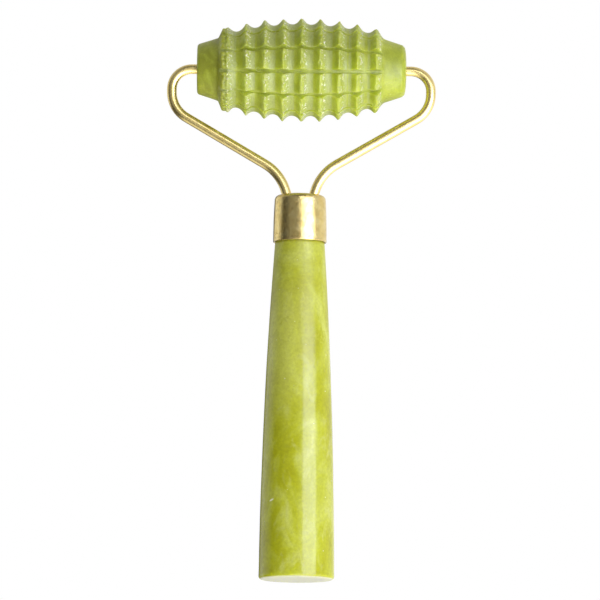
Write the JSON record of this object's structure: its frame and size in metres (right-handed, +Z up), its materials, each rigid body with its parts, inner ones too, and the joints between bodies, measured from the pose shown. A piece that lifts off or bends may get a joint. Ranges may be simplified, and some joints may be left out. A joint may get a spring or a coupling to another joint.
{
  "type": "jade face roller",
  "caption": "Hand-held face massage roller: a toothed barrel of carved jade turns on the ends of a bent brass wire set in a tapered jade handle.",
  "frame": {"origin": "centre of the handle's flat end face, which the roller stands on", "axes": "+Z up the handle's axis to the roller, +X along the roller's axis, -Y the front"},
  "size_m": [0.0694, 0.0266, 0.1453],
  "materials": {
    "handle_jade": "polished, cloudy yellow-green",
    "ferrule_brass": "polished, pale gold",
    "epoxy": "cured clear amber adhesive",
    "wire_brass": "satin, fine-grained gold",
    "roller_jade": "frosted crests, waxy green valleys",
    "nylon": "natural nylon"
  },
  "bodies": {
    "handle": {"handle_stone": "handle_jade", "ferrule": "ferrule_brass", "epoxy_potting": "epoxy", "wire_frame": "wire_brass"},
    "roller": {"roller_stone": "roller_jade", "left_bush": "nylon", "right_bush": "nylon"}
  },
  "joints": [
    {"name": "roller_spin", "type": "hinge", "parent": "handle", "child": "roller", "pos_m": [0, 0, 0.13191], "axis": [1, 0, 0], "continuous": true}
  ]
}
